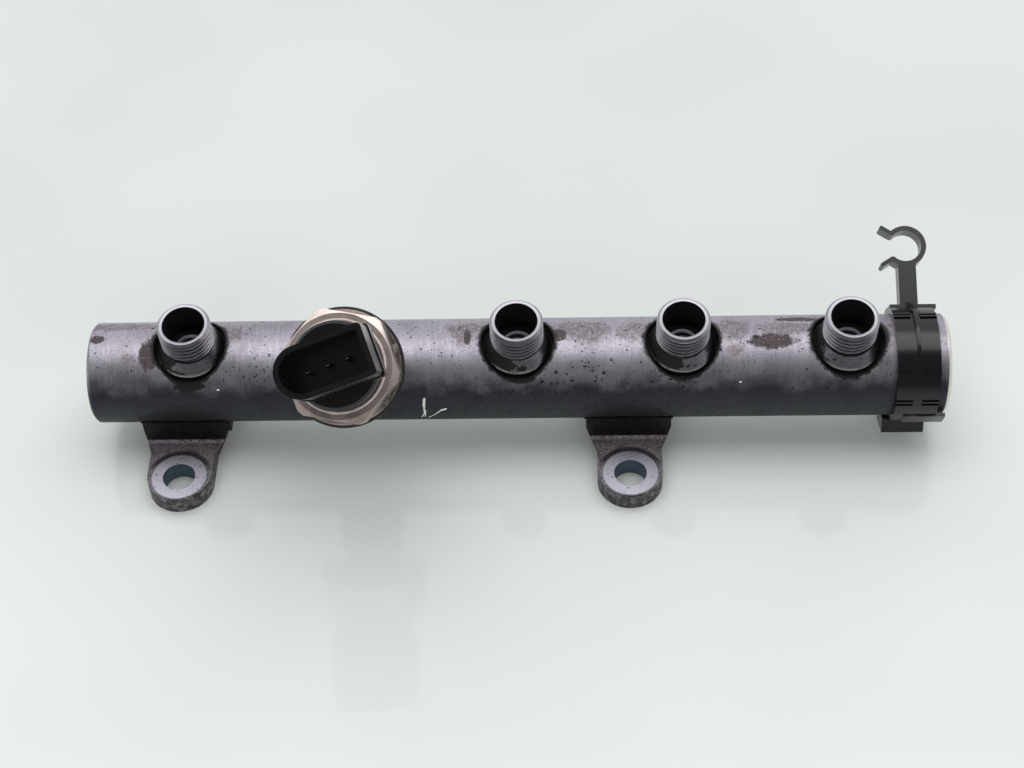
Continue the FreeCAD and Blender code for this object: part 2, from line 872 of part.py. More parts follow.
# Seal ring under the plug, on the step at the end of the long bore
def make_plug_seal():
    body = new_body("end_plug_seal", (tube_right - size("plug_hole_depth"),) + axis_place)
    sketch = new_sketch(body, "YZ_Plane")
    circle(sketch, 0, 0, half("plug_thread_diameter"))
    circle(sketch, 0, 0, half("rail_bore_diameter"))
    pad(body, sketch, size("plug_seal_thickness"))
    return body


def clip_sketch(body, start, turn=0.0):
    """A sketch across the tube's axis: its Y points along the stem, turned about the tube."""
    return new_sketch(body, "YZ_Plane", (0, 0, start), turn)


def is_lip_end(edge, limit):
    """Tell whether an edge runs across the end of one of the hook's lips."""
    ends = edge.Vertexes
    across = len(ends) == 2 and abs(ends[0].Y - ends[1].Y) > 1 and abs(ends[0].X - ends[1].X) < 1e-6
    return across and ends[0].X < limit and ends[0].Z > SIZES["hook_distance"] / 2


# Clip moulded in one piece: band, ribs, latch, catch, stem and the open hook for a pipe
def make_pipe_clip():
    centre = tube_right - size("clip_from_right_end")
    body = new_body("pipe_clip", (centre,) + axis_place, size("clip_lean"))
    inner = tube_radius + size("clip_gap")
    outer = inner + size("clip_wall")
    wide = half("clip_width")
    root = inner + size("clip_wall") / 2
    pad(body, circle(clip_sketch(body, -wide), 0, 0, outer), size("clip_width"))
    tongue = clip_sketch(body, size("latch_shift") - half("latch_length"), size("latch_turn"))
    reach = size("latch_half_width")
    rectangle(tongue, -reach, reach, root, outer + size("latch_rise"))
    pad(body, tongue, size("latch_length"))
    catch = clip_sketch(body, size("catch_shift") - half("catch_length"), size("catch_turn"))
    reach = size("catch_half_width")
    rectangle(catch, -reach, reach, root, inner + size("catch_height"))
    pad(body, catch, size("catch_length"))
    seat = clip_sketch(body, size("pad_offset") - half("pad_width"))
    reach = half("pad_length")
    rectangle(seat, -reach, reach, root, outer + size("pad_height"))
    pad(body, seat, size("pad_width"))
    rib = clip_sketch(body, -half("rib_thickness"), size("rib_turn"))
    pad(body, circle(rib, 0, size("rib_rise"), outer), size("rib_thickness"))
    for turn in RIDGE_TURNS:
        for side in (-1, 1):
            start = -wide if side < 0 else wide - size("ridge_length")
            for shift in (-1, 1):
                ridge = clip_sketch(body, start, turn)
                middle = half("ridge_pitch") * shift
                reach = half("ridge_width")
                rectangle(ridge, middle - reach, middle + reach, root,
                          outer + size("ridge_height"))
                pad(body, ridge, size("ridge_length"))
    hook_x = size("hook_offset")
    hook_z = size("hook_distance")
    pipe = half("hook_pipe_diameter")
    hook_outer = pipe + size("hook_wall")
    deep = half("stem_depth")
    stem = new_sketch(body, "XZ_Plane", (0, 0, -deep))
    reach = half("stem_width")
    middle = size("stem_offset")
    rectangle(stem, middle - reach, middle + reach, root, hook_z - pipe - size("hook_wall") / 2)
    pad(body, stem, size("stem_depth"))
    loop = new_sketch(body, "XZ_Plane", (0, 0, -deep))
    pad(body, circle(loop, hook_x, hook_z, hook_outer), size("stem_depth"))
    gape = half("hook_mouth")
    throat = hook_x - size("hook_throat")
    reach = size("lip_length") * cosine(size("lip_angle"))
    rise = size("lip_length") * sine(size("lip_angle"))
    mouth = new_sketch(body, "XZ_Plane", (0, 0, -deep - BEYOND))
    pocket(body, polygon(mouth, [
        (hook_x, hook_z - gape),
        (throat, hook_z - gape),
        (throat - reach, hook_z - gape - rise),
        (throat - reach, hook_z + gape + rise),
        (throat, hook_z + gape),
        (hook_x, hook_z + gape),
    ]), size("stem_depth") + BEYOND * 2)
    back_x = size("lip_thickness") * sine(size("lip_angle"))
    back_z = size("lip_thickness") * cosine(size("lip_angle"))
    for side in (-1, 1):
        inside = hook_z + gape * side
        lip = new_sketch(body, "XZ_Plane", (0, 0, -deep))
        pad(body, polygon(lip, [
            (throat, inside),
            (throat - reach, inside + rise * side),
            (throat - reach + back_x, inside + (rise + back_z) * side),
            (throat + back_x, inside + back_z * side),
        ]), size("stem_depth"))
    tip = (throat - reach / 2).value
    round_edges(body, size("lip_rounding"), lambda edge: is_lip_end(edge, tip))
    through = new_sketch(body, "XZ_Plane", (0, 0, -deep - BEYOND))
    pocket(body, circle(through, hook_x, hook_z, pipe), size("stem_depth") + BEYOND * 2)
    bore = circle(clip_sketch(body, -half("latch_length") * 2), 0, 0, inner)
    pocket(body, bore, size("latch_length") * 3)
    return body


pieces = [make_rail_tube()]
for stub_number, stub_place in enumerate(PORT_PLACES, start=1):
    pieces.append(make_port_stub(stub_number, stub_place))
pieces.append(make_sensor_boss())
pieces.append(make_sensor_seal_ring())
pieces.append(make_sensor_body())
pieces.append(make_measuring_cell())
pieces.append(make_board_carrier())
pieces.append(make_circuit_board())
pieces.append(make_rubber_ring())
pieces.append(make_connector())
for pin_number in (-1, 0, 1):
    pieces.append(make_pin(pin_number))
pieces.append(make_lug("mounting_lug_left", -1, size("web_offset_left"),
                       size("foot_width_left"), size("neck_width_left"), True))
pieces.append(make_lug("mounting_lug_right", 1, size("web_offset_right"),
                       size("foot_width_right"), size("neck_width_right"), False))
pieces.append(make_end_plug())
pieces.append(make_plug_seal())
pieces.append(make_pipe_clip())

doc.recompute()
for thing in doc.Objects:
    if "Invalid" in thing.State or "Error" in thing.State:
        raise RuntimeError("%s failed to compute" % thing.Label)
os.makedirs("parts", exist_ok=True)
for piece in pieces:
    if piece.Shape.isNull() or not piece.Shape.isValid():
        raise RuntimeError("%s has no valid shape" % piece.Label)
    if len(piece.Shape.Solids) != 1:
        raise RuntimeError("%s is not one solid" % piece.Label)
    piece.Shape.exportStep("parts/%s.step" % piece.Label)
    print("%-24s %9.1f mm3" % (piece.Label, piece.Shape.Volume))
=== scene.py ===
"""Studio scene of a high-pressure fuel rail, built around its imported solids.

The numbers below are millimetres in the part's own frame. The origin lies midway between the
two bolt holes on the flat underside of the lugs, +Z points up and the tube runs along X.
"""
import math

import bmesh
import bpy
from bpy.props import FloatProperty, FloatVectorProperty, IntProperty, PointerProperty
from mathutils import Matrix, Vector


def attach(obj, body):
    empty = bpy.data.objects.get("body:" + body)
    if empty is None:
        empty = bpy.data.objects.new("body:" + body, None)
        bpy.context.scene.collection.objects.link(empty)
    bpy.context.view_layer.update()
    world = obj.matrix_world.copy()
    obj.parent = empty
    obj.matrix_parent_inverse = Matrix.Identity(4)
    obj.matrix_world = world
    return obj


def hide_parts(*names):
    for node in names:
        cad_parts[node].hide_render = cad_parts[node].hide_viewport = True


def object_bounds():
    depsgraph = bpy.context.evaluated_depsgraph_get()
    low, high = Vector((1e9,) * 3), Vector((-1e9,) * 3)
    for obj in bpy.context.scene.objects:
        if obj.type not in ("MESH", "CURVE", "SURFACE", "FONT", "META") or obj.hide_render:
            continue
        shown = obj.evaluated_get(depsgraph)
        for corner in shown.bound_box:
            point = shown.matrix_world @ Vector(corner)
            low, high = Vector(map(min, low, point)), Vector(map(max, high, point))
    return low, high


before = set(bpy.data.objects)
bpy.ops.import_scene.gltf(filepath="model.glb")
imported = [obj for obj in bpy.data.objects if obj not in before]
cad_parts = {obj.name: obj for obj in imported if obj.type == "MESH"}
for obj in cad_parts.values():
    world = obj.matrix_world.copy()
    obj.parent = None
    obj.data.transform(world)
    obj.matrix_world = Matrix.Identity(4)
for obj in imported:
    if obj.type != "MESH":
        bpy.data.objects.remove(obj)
cad_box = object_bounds()

bl_info = {
    "name": "Fuel Rail Dressing",
    "version": (1, 0, 0),
    "blender": (4, 5, 0),
    "location": "View3D > Sidebar > Fuel Rail",
    "description": "Dresses a packed fuel rail with threads, weld beads and worn finishes",
    "category": "Object",
}

MM = 0.001
BODY = "root"

# Tube: its axis, its radius and its two ends
AXIS_Y, AXIS_Z = 24.2, 20.4
TUBE_RADIUS = 13.5
TUBE_LEFT, TUBE_RIGHT = -83.2, 144.2

# Stubs and sensor: where they cross the tube's axis, and how far they lean towards -Y
STUB_X = (-55.9, 30.8, 74.15, 117.5)
PORT_PITCH = 43.35
STUB_LEAN = 10.0
SENSOR_X = -12.55
SENSOR_LEAN = 41.0
BOSS_RADIUS = 8.75
FLANGE_TOP, HEX_TOP = 32.2, 42.0

# Each stub's own look: where its thread starts, in turns, and how much painted shade and oil
# darken its collar
THREAD_STARTS = (0.27, 0.54, 0.81, 0.08)
COLLAR_SHADE_AND_OIL = (-0.03, 0.05, 0.06, -0.2)

# Outline of a stub as radius and height above the tube's axis, and how far it is rounded
BORE_RADIUS = 5.55
COLLAR_EDGE = 11.4
STUB_TOP = 22.9
STUB_FOOT = ((6.05, 9.3), (7.8, 9.3), (7.8, 10.9), (8.9, 10.9), (8.9, COLLAR_EDGE),
             (6.45, 14.5), (6.45, 15.2))
STUB_MOUTH = ((6.3, STUB_TOP), (BORE_RADIUS, STUB_TOP), (BORE_RADIUS, 12.5), (6.05, 12.5))
FOOT_ROUNDING, MOUTH_ROUNDING = 0.22, 0.1
GROOVE_RADIUS = 9.65

# Thread: its two ends, its crest, and the parts of a turn that its flat crest and a flank take
THREAD_LOW, THREAD_HIGH = 15.2, 22.2
THREAD_RADIUS = 7.0
CREST_PART, FLANK_PART = 0.12, 0.3
FIRST_TURN_DEPTH = 0.6
LAST_TURN_FADE = 0.6

# Seat in the tube below a stub: its mouth and the radius within which a painted highlight
# brightens its middle
SEAT_MOUTH = 3.55
SEAT_HIGHLIGHT = 2.8

# Lugs: bolt holes, the machined ring round them and the web under the tube
HOLE_X = 60.4
HOLE_RADIUS = 4.3
RING_RADIUS = 7.7
LUG_TOP = 5.4
WEB_FRONT, WEB_BACK, WEB_TOP = 12.7, 33.0, 13.2
WEB_HALF = 11.4
WEB_OFFSETS = (0.85, -0.2)

# Beads: sides round one, its usual thickness, the share that ripples and waves add, the steps
# along one in number or millimetres, and how far its middle stands off the boss and the tube
BEAD_SIDES = 10
BEAD_THICKNESS, BEAD_RIPPLE, BEAD_WAVE = 0.9, 0.14, 0.05
BEAD_WAVES_PER_MM = 0.9
BOSS_BEAD_STEPS = 240
BEAD_OFF_BOSS, BEAD_OFF_TUBE = 0.15, 0.1
BRAZE_SPACING, BRAZE_RIPPLE = 0.6, 7.0
SHARP_ANGLE = 38.0

# Camera of the photograph: its place in metres, its axes and its lens
CAMERA_PLACE = (0.04474, -0.31297, 0.39106)
CAMERA_AXES = ((0.999451, 0.013178, -0.030398),
               (0.010436, 0.745569, 0.666347),
               (0.031445, -0.666298, 0.745022))
CAMERA_LENS = 65.49

# Lamps in metres: what they shine at, and each one's place and size
RAIL_MIDDLE = Vector((0.03, 0.02, 0.02))
OVERHEAD_PLACE, OVERHEAD_SIZE = (0.03, 0.08, 0.75), (0.9, 0.5)
FRONT_PLACE, FRONT_SIZE = (0.03, -0.62, 0.3), (1.2, 0.4)
TABLE_HALF = 2.5
TABLE_GAP = 0.02

# Side of the camera, where the room is darker, and the cosines where that starts and is full
CAMERA_SIDE = (0.0, -0.86, 0.51)
SHADE_START, SHADE_FULL = 0.05, 0.75


def linear(code):
    """Turn a six-digit sRGB colour code into the linear colour that the shaders take."""
    channels = [int(code[i:i + 2], 16) / 255 for i in (0, 2, 4)]
    return [c / 12.92 if c <= 0.04045 else ((c + 0.055) / 1.055) ** 2.4 for c in channels] + [1.0]


def colour(label, code, description):
    """A colour that the sidebar offers."""
    return FloatVectorProperty(name=label, description=description, subtype="COLOR",
                               size=4, min=0.0, max=1.0, default=linear(code))


class RailSizes(bpy.types.PropertyGroup):
    """Sizes of what the scene adds to the solids: threads, weld beads and braze lines"""
    thread_pitch: FloatProperty(
        name="Thread pitch", description="Distance from one turn of a stub's thread to the next",
        default=1.5 * MM, precision=5, unit="LENGTH")
    thread_depth: FloatProperty(
        name="Thread depth", description="Depth of the thread's groove below its crest",
        default=0.8 * MM, precision=5, unit="LENGTH")
    thread_row: FloatProperty(
        name="Thread row", description="Height of one row of faces on the thread",
        default=0.08 * MM, precision=5, unit="LENGTH")
    stub_sides: IntProperty(
        name="Stub sides", description="Number of faces round a stub", default=112, min=24)
    weld_radius: FloatProperty(
        name="Weld bead", description="Radius of the weld bead round the sensor's boss",
        default=1.0 * MM, precision=5, unit="LENGTH")
    weld_ripple: FloatProperty(
        name="Weld ripple", description="Distance between two ripples of the weld bead",
        default=1.3 * MM, precision=5, unit="LENGTH")
    braze_radius: FloatProperty(
        name="Braze fillet", description="Radius of the braze line between a lug and the tube",
        default=0.55 * MM, precision=5, unit="LENGTH")


class RailColours(bpy.types.PropertyGroup):
    """Main colour of each finish"""
    tube: colour("Tube", "A9A5AE", "Dull zinc on the tube")
    stain: colour("Stain", "4A3F42", "Baked oil stains on the tube")
    stub: colour("Stub", "A09EA4", "Turned steel of the stubs")
    sensor: colour("Sensor", "DACCC5", "Nickel on the sensor's hexagon")
    lug: colour("Lug", "8C868C", "Forged skin of the lugs")
    ring: colour("Machined ring", "D2CFDA", "Machined ring round a bolt hole")
    plastic: colour("Plastic", "07070A", "Moulding of the sensor and the clip")
    floor: colour("Floor", "E0E6E1", "Painted glass of the table")


class StageSettings(bpy.types.PropertyGroup):
    """Strength of the lamps and of the light from the room"""
    key_power: FloatProperty(
        name="Overhead lamp", description="Power of the large lamp above the rail",
        default=2.7, unit="POWER")
    fill_power: FloatProperty(
        name="Front lamp", description="Power of the soft lamp that lightens the rail's shadow",
        default=3.0, unit="POWER")
    room: FloatProperty(
        name="Room light", description="Strength of the light from the room behind the rail",
        default=1.0, min=0.0)
    shade: FloatProperty(
        name="Camera's side", description="Strength of the light from the side of the camera",
        default=0.2, min=0.0)


# Setting of a map-range node that eases in and out between its limits
SMOOTH = {"interpolation_type": "SMOOTHSTEP"}


def add(tree, kind, inputs=(), out=0, **settings):
    """Add a node with its settings, fill its inputs with numbers or links, give an output."""
    node = tree.nodes.new("ShaderNode" + kind)
    for name, value in settings.items():
        setattr(node, name, value)
    pairs = inputs.items() if isinstance(inputs, dict) else enumerate(inputs)
    for key, value in pairs:
        if isinstance(value, bpy.types.NodeSocket):
            tree.links.new(value, node.inputs[key])
        else:
            node.inputs[key].default_value = value
    return node.outputs[out] if len(node.outputs) else node


def new_finish(name):
    """Start a material with an empty node tree."""
    finish = bpy.data.materials.new(name)
    finish.use_nodes = True
    finish.node_tree.nodes.clear()
    return finish, finish.node_tree


def close_finish(tree, **inputs):
    """End a material with its shader; underscores in the names stand for spaces."""
    named = {key.replace("_", " "): value for key, value in inputs.items()}
    shader = add(tree, "BsdfPrincipled", named)
    add(tree, "OutputMaterial", {"Surface": shader})


def layers(tree, base, *coats):
    """Lay coats over a base colour, each as its colour and the mask of where it lies."""
    for over, mask in coats:
        base = add(tree, "Mix", {0: mask, 6: base, 7: over}, out=2, data_type="RGBA")
    return base


def levels(tree, start, *steps):
    """Move a number, such as a roughness, to others, each given with the mask of where."""
    for value, mask in steps:
        start = add(tree, "Mix", {0: mask, 2: start, 3: value})
    return start


def overlap(tree, first, *masks):
    """Mask of the places where all the masks hold."""
    for mask in masks:
        first = add(tree, "Math", (first, mask), operation="MULTIPLY")
    return first


def union(tree, first, *masks):
    """Mask of the places where any of the masks holds."""
    for mask in masks:
        first = add(tree, "Math", (first, mask), operation="MAXIMUM")
    return first


def mottle(tree, place, size, low, high, detail=4.0):
    """Mask of cloudy patches of about a size in millimetres, from 0 at low to 1 at high."""
    cloud = add(tree, "TexNoise", {"Vector": place, "Scale": 1 / (size * MM), "Detail": detail})
    return add(tree, "MapRange", (cloud, low, high), **SMOOTH)


def specks(tree, place, spacing, radius, share):
    """Mask of ragged spots of up to a radius, on a share of the cells of a spacing, in mm."""
    cells = add(tree, "TexVoronoi", {"Vector": place, "Scale": 1 / (spacing * MM)}, out=1)
    chance = add(tree, "SeparateColor", (cells,))
    reach = add(tree, "Math", (chance.node.outputs[1], 1.3 * radius / spacing, radius / spacing),
                operation="MULTIPLY_ADD")
    ragged = add(tree, "TexNoise", {"Vector": place, "Scale": 1.6 / (radius * MM), "Detail": 3.0})
    spread = add(tree, "Math", (ragged, 2.6 * radius / spacing, cells.node.outputs[0]),
                 operation="MULTIPLY_ADD")
    inside = add(tree, "Math", (reach, spread), operation="GREATER_THAN")
    chosen = add(tree, "Math", (chance, share), operation="LESS_THAN")
    return overlap(tree, inside, chosen)


def between(tree, value, low, high, soft):
    """Mask that is 1 where a value lies between two limits, with a soft edge outside them."""
    above = add(tree, "MapRange", (value, low - soft, low), **SMOOTH)
    below = add(tree, "MapRange", (value, high + soft, high), **SMOOTH)
    return overlap(tree, above, below)


def off_centre(tree, across, along):
    """Distance of a point from the centre of a plane, from its two places there."""
    point = add(tree, "CombineXYZ", (across, along))
    return add(tree, "VectorMath", (point,), out=1, operation="LENGTH")


def millimetres(tree):
    """The point's place in the object's own frame, then its x, y and z in millimetres."""
    place = add(tree, "TexCoord", out=3)
    scaled = add(tree, "VectorMath", {0: place, 3: 1 / MM}, operation="SCALE")
    x = add(tree, "SeparateXYZ", (scaled,))
    return place, x, x.node.outputs[1], x.node.outputs[2]


def along_lean(tree, y, z, lean):
    """Place of a point across and along a direction that leans from the tube's axis to -Y."""
    sine, cosine = math.sin(math.radians(lean)), math.cos(math.radians(lean))
    places = []
    for by_y, by_z in ((cosine, sine), (-sine, cosine)):
        first = add(tree, "Math", (y, by_y, -(AXIS_Y * by_y + AXIS_Z * by_z)),
                    operation="MULTIPLY_ADD")
        places.append(add(tree, "Math", (z, by_z, first), operation="MULTIPLY_ADD"))
    return places


def patches(tree, x, arc, ragged, places):
    """Mask of ragged patches on the tube, each given as x, arc and its two half sizes."""
    here = add(tree, "CombineXYZ", (x, arc))
    found = []
    for centre_x, centre_arc, half_x, half_arc in places:
        moved = add(tree, "VectorMath", (here, (centre_x, centre_arc, 0.0)), operation="SUBTRACT")
        scaled = add(tree, "VectorMath", (moved, (half_x, half_arc, 1.0)), operation="DIVIDE")
        reach = add(tree, "VectorMath", (scaled,), out=1, operation="LENGTH")
        edge = add(tree, "Math", (ragged, 1.6, reach), operation="MULTIPLY_ADD")
        found.append(add(tree, "MapRange", (edge, 1.85, 1.6), **SMOOTH))
    return union(tree, *found)


def strokes(tree, x, arc, wobble, lines):
    """Mask of thin strokes on the tube, each from one x and arc to another, and half as wide."""
    here = add(tree, "CombineXYZ", (x, arc))
    found = []
    for start_x, start_arc, end_x, end_arc, half in lines:
        run = Vector((end_x - start_x, end_arc - start_arc, 0.0))
        step = run / run.length_squared
        moved = add(tree, "VectorMath", (here, (start_x, start_arc, 0.0)), operation="SUBTRACT")
        part = add(tree, "VectorMath", (moved, tuple(step)), out=1, operation="DOT_PRODUCT")
        held = add(tree, "Clamp", (part,))
        near = add(tree, "VectorMath", {0: tuple(run), 3: held}, operation="SCALE")
        reach = add(tree, "VectorMath", (moved, near), out=1, operation="DISTANCE")
        edge = add(tree, "Math", (wobble, half, reach), operation="MULTIPLY_ADD")
        found.append(add(tree, "MapRange", (edge, half * 1.65, half * 1.35), **SMOOTH))
    return union(tree, *found)


# What the photograph shows on the tube, as x, arc from the stubs' line and two half sizes.
# Arc runs round the tube in millimetres and is negative towards the front and the lugs
DARK_STAINS = ((-66.6, -3.2, 2.6, 4.6), (-64.9, 1.4, 1.6, 2.6), (-80.8, 1.9, 2.0, 1.5),
               (17.6, 1.6, 1.0, 3.0), (97.5, -0.8, 6.6, 2.5), (104.5, 7.6, 6.0, 1.4),
               (42.0, 1.9, 1.9, 2.4), (127.4, 0.8, 0.9, 2.8))
BROWN_FILMS = ((17.2, 4.9, 5.6, 2.4), (16.2, 1.2, 2.8, 3.2), (-72.2, -3.8, 2.0, 1.4),
               (48.0, 3.6, 8.0, 4.4), (87.0, 3.4, 5.0, 4.4), (-76.0, 7.6, 12.0, 2.2),
               (-44.4, 3.2, 3.4, 2.6), (61.8, 2.6, 5.0, 4.0), (87.8, -3.1, 2.4, 1.9),
               (101.0, 3.4, 8.0, 2.6), (127.9, 1.0, 1.9, 5.0))
SPECK_FIELDS = ((35.0, -14.0, 21.0, 6.6), (50.0, -9.0, 8.0, 6.0), (-38.0, -8.4, 5.0, 3.0),
                (70.0, -13.5, 6.0, 5.0))
# The first two are soot above the lugs; the last two are painted shadow below stubs 1 and 2
SOOT_AND_SHADOW = ((-59.6, -25.0, 12.6, 6.4), (60.2, -25.0, 12.2, 6.4), (-56.0, -11.6, 4.6, 1.6),
        (32.0, -10.4, 4.0, 1.4))

# Strokes and dots of pale paint, as x and arc of both ends and half the width
PAINT_STROKES = ((6.1, -16.0, 5.9, -18.6, 0.34), (5.9, -18.6, 5.9, -21.6, 0.22),
                 (5.9, -21.6, 4.9, -24.4, 0.15), (6.2, -20.4, 5.9, -23.8, 0.15),
                 (6.8, -24.6, 9.0, -22.0, 0.16), (9.0, -22.0, 10.3, -20.4, 0.2),
                 (10.3, -20.4, 11.6, -19.8, 0.32), (-48.3, -12.6, -48.1, -12.6, 0.24),
                 (89.0, -11.9, 89.2, -11.9, 0.2))


def dull_zinc_steel(colours):
    """Drawn steel tube with dull zinc; it looks satin on top, and near black below from painted
    shade with some baked oil.
    """
    finish, tree = new_finish("drawn_steel_dulled_zinc")
    place, x, y, z = millimetres(tree)
    across, height = along_lean(tree, y, z, STUB_LEAN)
    angle = add(tree, "Math", (across, height), operation="ARCTAN2")
    arc = add(tree, "Math", (angle, TUBE_RADIUS), operation="MULTIPLY")
    # Grinding lines run round the tube, 0.35 mm apart, coarser than real so that they show
    streaks = add(tree, "VectorMath", (place, (1.0, 0.06, 0.06)), operation="MULTIPLY")
    lines = add(tree, "TexNoise", {"Vector": streaks, "Scale": 1 / (0.35 * MM), "Detail": 3.0})
    grain = add(tree, "TexNoise", {"Vector": place, "Scale": 1 / (0.5 * MM), "Detail": 5.0})
    ragged = add(tree, "TexNoise", {"Vector": place, "Scale": 1 / (2.0 * MM), "Detail": 7.0,
                                    "Roughness": 0.75})
    clouds = mottle(tree, place, 9.0, 0.38, 0.75)
    dull = add(tree, "MapRange", (grain, 0.5, 0.8, 0.0, 0.5))
    bright = add(tree, "MapRange", (lines, 0.5, 0.85, 0.0, 0.5))
    base = layers(tree, colours.tube, (linear("8F8B94"), clouds), (linear("5E5A60"), dull),
                  (linear("D2CED6"), bright))
    # Painted shade, with some baked oil, darkens the side that hangs over the lugs, and a greenish
    # painted reflection of the table lies on it lowest down
    drift = add(tree, "Math", (mottle(tree, place, 5.0, 0.3, 0.7), 2.4, arc),
                operation="MULTIPLY_ADD")
    shade_and_oil = add(tree, "MapRange", (drift, -6.0, -14.0, 0.0, 0.94), **SMOOTH)
    # Greenish painted reflection of the table, mottled, on the lowest strip of the tube
    lowest = add(tree, "MapRange", (arc, -16.0, -23.0, 0.0, 0.6), **SMOOTH)
    mottled_coat = overlap(tree, lowest, mottle(tree, place, 2.4, 0.35, 0.6))
    film = overlap(tree, patches(tree, x, arc, ragged, BROWN_FILMS),
                   mottle(tree, place, 0.9, 0.25, 0.62), 0.62)
    stain = overlap(tree, patches(tree, x, arc, ragged, DARK_STAINS),
                    mottle(tree, place, 0.6, 0.24, 0.42))
    # Specks of dirt: crowded in the fields, and a few everywhere
    field = patches(tree, x, arc, ragged, SPECK_FIELDS)
    pits = union(tree, overlap(tree, specks(tree, place, 1.3, 0.5, 0.9), field),
                 specks(tree, place, 0.9, 0.3, 0.35), specks(tree, place, 3.2, 0.6, 0.3))
    # Soot above the lugs, and painted shadow below two stubs
    soot_and_shadow = patches(tree, x, arc, ragged, SOOT_AND_SHADOW)
    # Distance from the nearest of the five places that stubs and sensor take, one pitch apart
    start = add(tree, "Math", (x, PORT_PITCH / 2 - STUB_X[0]))
    cell = add(tree, "Math", (start, PORT_PITCH), operation="FLOORED_MODULO")
    beside = add(tree, "Math", (cell, PORT_PITCH / 2), operation="SUBTRACT")
    off_port = off_centre(tree, beside, across)
    upper = add(tree, "Math", (height, 0.0), operation="GREATER_THAN")
    # Painted shade round each stub: near black from the seat's mouth out past the groove, and a
    # ragged ring of painted shade, with some weld soot, round the collar's foot
    seat_to_groove = between(tree, off_port, SEAT_MOUTH + 0.2, GROOVE_RADIUS + 0.2, 0.3)
    groove = overlap(tree, upper, seat_to_groove)
    spread = add(tree, "Math", (ragged, -3.4, off_port), operation="MULTIPLY_ADD")
    soot_and_shade = add(tree, "MapRange", (spread, GROOVE_RADIUS - 0.4, GROOVE_RADIUS - 1.5), **SMOOTH)
    collar_halo_shade = overlap(tree, upper, soot_and_shade)
    # Inside the seat: painted shade on the cone, and a painted highlight on its middle and on the
    # lip of its mouth
    inner = add(tree, "MapRange", (off_port, SEAT_MOUTH - 0.25, SEAT_MOUTH - 0.45), **SMOOTH)
    seat_shade = overlap(tree, upper, inner)
    centre_highlight = add(tree, "MapRange", (off_port, SEAT_HIGHLIGHT, SEAT_HIGHLIGHT - 0.3), **SMOOTH)
    lip = between(tree, off_port, SEAT_MOUTH - 0.25, SEAT_MOUTH + 0.25, 0.1)
    seat_highlight = overlap(tree, upper, union(tree, centre_highlight, lip))
    ends = union(tree, add(tree, "Math", (x, TUBE_RIGHT - 1.0), operation="GREATER_THAN"),
                 add(tree, "Math", (x, TUBE_LEFT + 0.15), operation="LESS_THAN"))
    wobble = add(tree, "TexNoise", {"Vector": place, "Scale": 1 / (0.6 * MM)})
    paint = strokes(tree, x, arc, wobble, PAINT_STROKES)
    base = layers(tree, base, (linear("30313A"), shade_and_oil), (linear("4A4F4B"), mottled_coat),
                  (linear("6B5A5A"), film), (colours.stain, stain), (linear("0E0E13"), pits),
                  (linear("0F0E10"), soot_and_shadow), (linear("110E11"), collar_halo_shade), (linear("0C0A0B"), groove),
                  (linear("2A282C"), seat_shade), (linear("E4E1EA"), seat_highlight), (linear("D8D2CC"), ends),
                  (linear("DADAD4"), paint))
    dirt_and_shade = union(tree, stain, pits, soot_and_shadow, collar_halo_shade, groove)
    metal = levels(tree, 0.95, (0.1, union(tree, dirt_and_shade, paint)), (1.0, seat_highlight))
    rough = levels(tree, add(tree, "MapRange", (grain, 0.3, 0.7, 0.42, 0.56)), (0.7, dirt_and_shade),
                   (0.45, seat_highlight), (0.3, ends))
    lift = add(tree, "Math", (grain, 0.5, lines), operation="MULTIPLY_ADD")
    lift = add(tree, "Math", (pits, -1.5, lift), operation="MULTIPLY_ADD")
    lift = add(tree, "Math", (paint, 2.0, lift), operation="MULTIPLY_ADD")
    bump = add(tree, "Bump", {"Strength": 0.5, "Distance": 0.02 * MM, "Height": lift})
    close_finish(tree, Base_Color=base, Metallic=metal, Roughness=rough, Normal=bump)
    return finish


